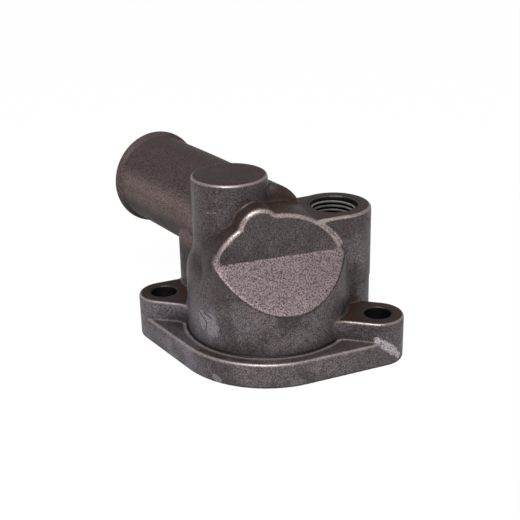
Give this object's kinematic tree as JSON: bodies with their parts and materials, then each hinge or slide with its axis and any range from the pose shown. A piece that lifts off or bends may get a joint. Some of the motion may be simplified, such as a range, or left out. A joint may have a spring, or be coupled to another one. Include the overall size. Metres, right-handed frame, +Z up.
{
  "type": "coolant outlet connector",
  "caption": "Cast coolant outlet elbow: two-bolt flange, domed chamber, beaded hose spigot to one side, threaded sensor boss and blank boss.",
  "frame": {"origin": "centre of the bolt line in the flange's sealing face, on the axis of the chamber", "axes": "+X along the line of the two bolts to the sensor boss's side, +Z up out of the sealing face, +Y towards the hose spigot's side"},
  "size_m": [0.1143, 0.0927, 0.0608],
  "materials": {
    "cast_aluminium": "as-cast, dull grey"
  },
  "bodies": {
    "root": {"outlet_casting": "cast_aluminium"}
  },
  "joints": []
}
